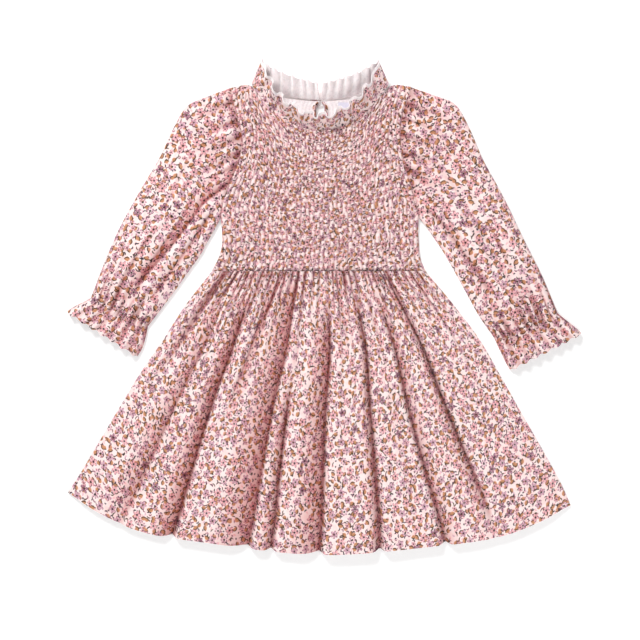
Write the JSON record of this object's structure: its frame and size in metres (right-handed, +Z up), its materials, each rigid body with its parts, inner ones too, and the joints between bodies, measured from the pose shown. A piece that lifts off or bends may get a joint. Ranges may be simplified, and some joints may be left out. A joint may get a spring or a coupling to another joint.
{
  "type": "smocked dress",
  "caption": "Child's long-sleeved dress with a shirred bodice, gathered skirt and ruffled neck and cuffs, laid flat on its back.",
  "frame": {"origin": "middle of the laid-out dress's outline, on the table that it lies on", "axes": "+X across the outline, towards the wearer's left sleeve, +Y from the hem towards the neck, +Z up out of the dress's front"},
  "size_m": [0.5851, 0.5634, 0.0263],
  "materials": {
    "printed_cotton": "soft woven cotton with a small flower print",
    "label_cloth": "plain woven tape",
    "button_plastic": "satin",
    "loop_cord": "thin cord"
  },
  "bodies": {
    "root": {"back_bodice": "printed_cotton", "front_bodice": "printed_cotton", "front_skirt": "printed_cotton", "back_skirt": "printed_cotton", "left_sleeve": "printed_cotton", "right_sleeve": "printed_cotton", "left_cuff_ruffle": "printed_cotton", "right_cuff_ruffle": "printed_cotton", "neck_ruffle": "printed_cotton", "keyhole_binding": "printed_cotton", "neck_label": "label_cloth", "neck_button": "button_plastic", "button_loop": "loop_cord"}
  },
  "joints": []
}
